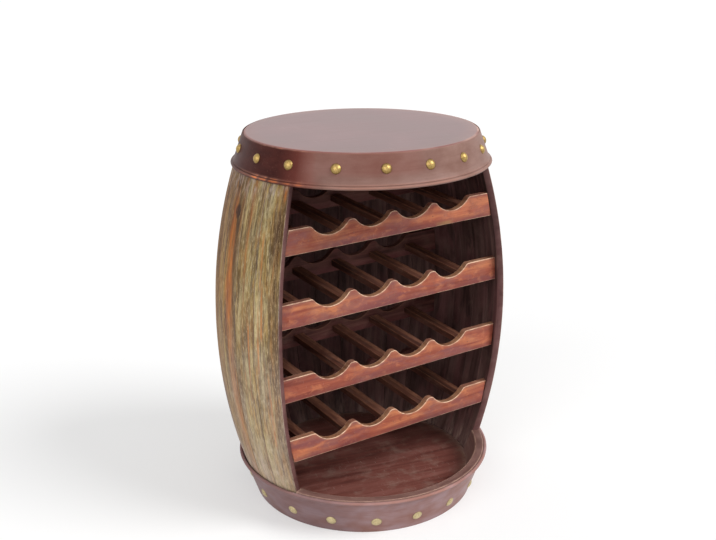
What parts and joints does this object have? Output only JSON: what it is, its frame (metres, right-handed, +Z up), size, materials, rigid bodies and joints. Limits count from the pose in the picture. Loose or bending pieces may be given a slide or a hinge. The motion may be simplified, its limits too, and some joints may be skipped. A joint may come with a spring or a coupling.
{
  "type": "barrel wine rack",
  "caption": "Barrel of bent staves with an open front, hoops studded with domed nails, and tiers of scalloped rails and slats that hold wine bottles lying neck to the front.",
  "frame": {"origin": "on the ground, under the middle of the rack's bounding box; the barrel's own axis stands about 16 mm in front of it", "axes": "+Z up along the barrel's axis, the open front faces -Y, +X to the right of someone who faces the front"},
  "size_m": [0.5456, 0.5135, 0.69],
  "materials": {
    "stave_wood": "weathered olive brown stain, streaked and worn at the arrises",
    "panel_wood": "dark red brown stain, satin",
    "top_wood": "mauve brown paint, satin, worn at the rim",
    "rail_wood": "reddish orange stain, satin, pale worn arrises",
    "slat_wood": "light brown stain, satin",
    "hoop_paint": "mauve brown paint, satin",
    "nail_brass": "polished"
  },
  "bodies": {
    "root": {"stave_01": "stave_wood", "stave_02": "stave_wood", "stave_03": "stave_wood", "stave_04": "stave_wood", "stave_05": "stave_wood", "stave_06": "stave_wood", "stave_07": "stave_wood", "stave_08": "stave_wood", "stave_09": "stave_wood", "stave_10": "stave_wood", "stave_11": "stave_wood", "stave_12": "stave_wood", "stave_13": "stave_wood", "stave_14": "stave_wood", "stave_15": "stave_wood", "stave_16": "stave_wood", "stave_17": "stave_wood", "stave_18": "stave_wood", "stave_19": "stave_wood", "stave_20": "stave_wood", "front_sill": "panel_wood", "front_header": "panel_wood", "floor_board": "panel_wood", "head_disc": "panel_wood", "top_board": "top_wood", "top_hoop": "hoop_paint", "base_hoop": "hoop_paint", "top_hoop_nails": "nail_brass", "base_hoop_nails": "nail_brass", "top_tier_front_rail": "rail_wood", "top_tier_back_rail": "rail_wood", "top_tier_slat_1": "slat_wood", "top_tier_slat_2": "slat_wood", "top_tier_slat_3": "slat_wood", "top_tier_slat_4": "slat_wood", "top_tier_slat_5": "slat_wood", "second_tier_front_rail": "rail_wood", "second_tier_back_rail": "rail_wood", "second_tier_slat_1": "slat_wood", "second_tier_slat_2": "slat_wood", "second_tier_slat_3": "slat_wood", "second_tier_slat_4": "slat_wood", "second_tier_slat_5": "slat_wood", "third_tier_front_rail": "rail_wood", "third_tier_back_rail": "rail_wood", "third_tier_slat_1": "slat_wood", "third_tier_slat_2": "slat_wood", "third_tier_slat_3": "slat_wood", "third_tier_slat_4": "slat_wood", "third_tier_slat_5": "slat_wood", "bottom_tier_front_rail": "rail_wood", "bottom_tier_back_rail": "rail_wood", "bottom_tier_slat_1": "slat_wood", "bottom_tier_slat_2": "slat_wood", "bottom_tier_slat_3": "slat_wood", "bottom_tier_slat_4": "slat_wood", "bottom_tier_slat_5": "slat_wood"}
  },
  "joints": []
}
